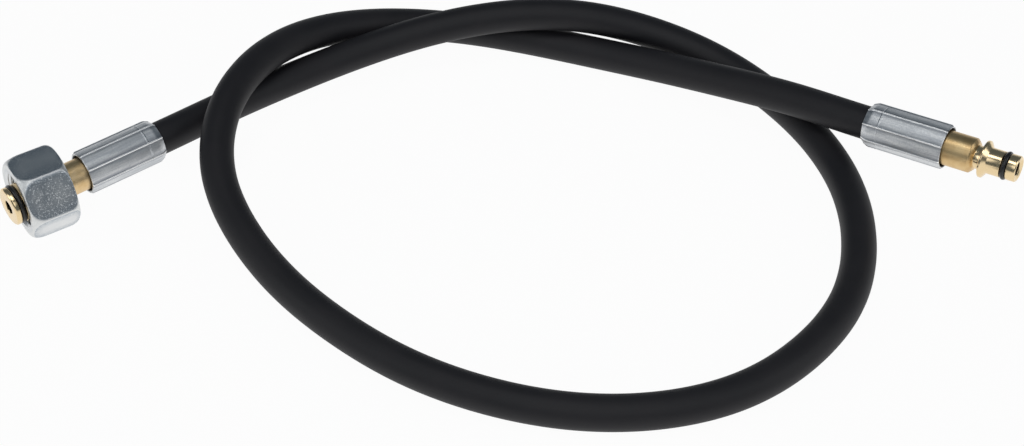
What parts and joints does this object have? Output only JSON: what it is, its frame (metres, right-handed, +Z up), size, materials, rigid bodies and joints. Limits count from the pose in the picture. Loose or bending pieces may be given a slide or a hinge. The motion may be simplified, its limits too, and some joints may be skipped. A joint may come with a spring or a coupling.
{
  "type": "pressure washer hose",
  "caption": "Short high-pressure rubber hose in a loose overhand loop, with crimped ferrules, a screw-on union nut at one end and a push-in plug at the other.",
  "frame": {"origin": "under the middle of the two end fittings, on the surface that the hose and the nut lie on", "axes": "+X from the union nut to the plug, +Y towards the crossings of the loop, +Z up"},
  "size_m": [0.3802, 0.2241, 0.0339],
  "materials": {
    "nut_zinc": "bright zinc plate",
    "ferrule_zinc": "satin zinc plate",
    "turned_brass": "fine turned",
    "hose_rubber": "matte",
    "seal_rubber": "smooth"
  },
  "bodies": {
    "hose_assembly": {"union_nipple": "turned_brass", "union_o_ring": "seal_rubber", "union_ferrule": "ferrule_zinc", "hose": "hose_rubber", "plug_ferrule": "ferrule_zinc", "plug_nipple": "turned_brass", "plug_o_ring": "seal_rubber"},
    "nut": {"union_nut": "nut_zinc"}
  },
  "joints": [
    {"name": "nut_spin", "type": "hinge", "parent": "hose_assembly", "child": "nut", "pos_m": [-0.17477, -0.00941, 0.01425], "axis": [0.8387, 0.5446, 0], "continuous": true}
  ]
}
